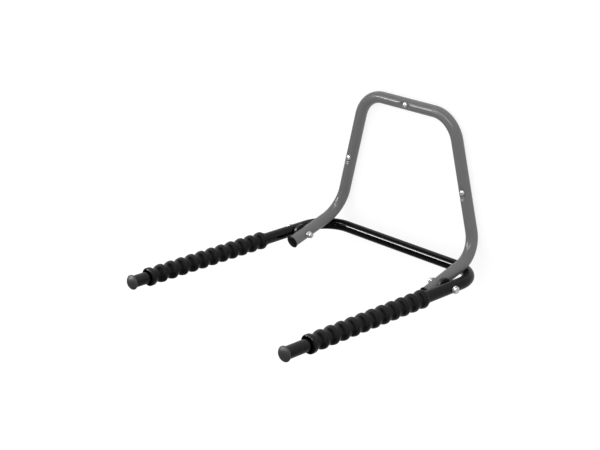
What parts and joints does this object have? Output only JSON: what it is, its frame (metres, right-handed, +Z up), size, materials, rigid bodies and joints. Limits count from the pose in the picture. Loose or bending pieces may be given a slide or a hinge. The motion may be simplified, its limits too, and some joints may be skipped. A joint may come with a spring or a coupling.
{
  "type": "folding wall bike rack",
  "caption": "Wall bike rack: bent tube frame screwed to the wall, with a hinged U of two padded arms that carry a bicycle and fold up.",
  "frame": {"origin": "on the wall plane, on the axis of the upper wall screw", "axes": "+X to the rack's right as seen facing the wall, +Y into the wall, +Z up; the arms point along -Y"},
  "size_m": [0.4902, 0.6145, 0.3462],
  "materials": {
    "frame_paint": "satin grey powder coat",
    "arm_paint": "semi-gloss black powder coat",
    "sleeve_rubber": "matt black",
    "plug_plastic": "smooth black",
    "spacer_plastic": "smooth dark grey",
    "zinc": "bright zinc plate"
  },
  "bodies": {
    "frame": {"wall_frame": "frame_paint", "foot_cap_left": "plug_plastic", "foot_cap_right": "plug_plastic", "wall_screw_top": "zinc", "wall_screw_left": "zinc", "wall_screw_right": "zinc", "spacer_left": "spacer_plastic", "spacer_right": "spacer_plastic", "pivot_bolt_left": "zinc", "pivot_bolt_right": "zinc", "head_washer_left": "zinc", "head_washer_right": "zinc", "nut_washer_left": "zinc", "nut_washer_right": "zinc", "pivot_nut_left": "zinc", "pivot_nut_right": "zinc"},
    "arm": {"fold_arm": "arm_paint", "sleeve_left": "sleeve_rubber", "sleeve_right": "sleeve_rubber", "arm_plug_left": "plug_plastic", "arm_plug_right": "plug_plastic"}
  },
  "joints": [
    {"name": "arm_fold", "type": "hinge", "parent": "frame", "child": "arm", "pos_m": [0, -0.1225, -0.30894], "axis": [-1, 0, 0], "range_deg": [0, 103]}
  ]
}
